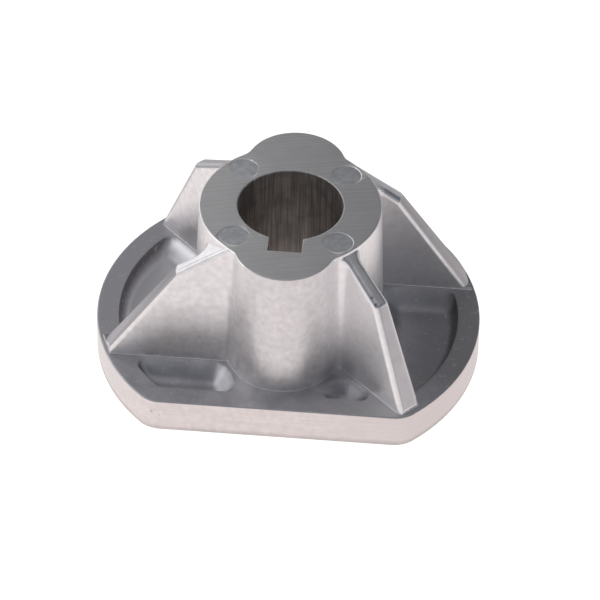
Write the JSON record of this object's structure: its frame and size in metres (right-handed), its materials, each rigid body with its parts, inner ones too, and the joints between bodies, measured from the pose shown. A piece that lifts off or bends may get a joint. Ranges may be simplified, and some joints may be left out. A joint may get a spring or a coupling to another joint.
{
  "type": "mower blade adapter",
  "caption": "Cast mower blade adapter: a round base with flats and recessed pockets, and a lobed hub on sloping ribs with a keyed bore for a crankshaft.",
  "frame": {"origin": "on the crankshaft's axis at the underside, where the adapter sits on the blade", "axes": "+Z along the crankshaft's axis from the blade up to the engine, -Y towards the keyway, square to the base's flats"},
  "size_m": [0.092, 0.0692, 0.043],
  "materials": {
    "cast_aluminium": "bare die casting, with a milled hub top and a machined bore"
  },
  "bodies": {
    "root": {"blade_adapter": "cast_aluminium"}
  },
  "joints": []
}
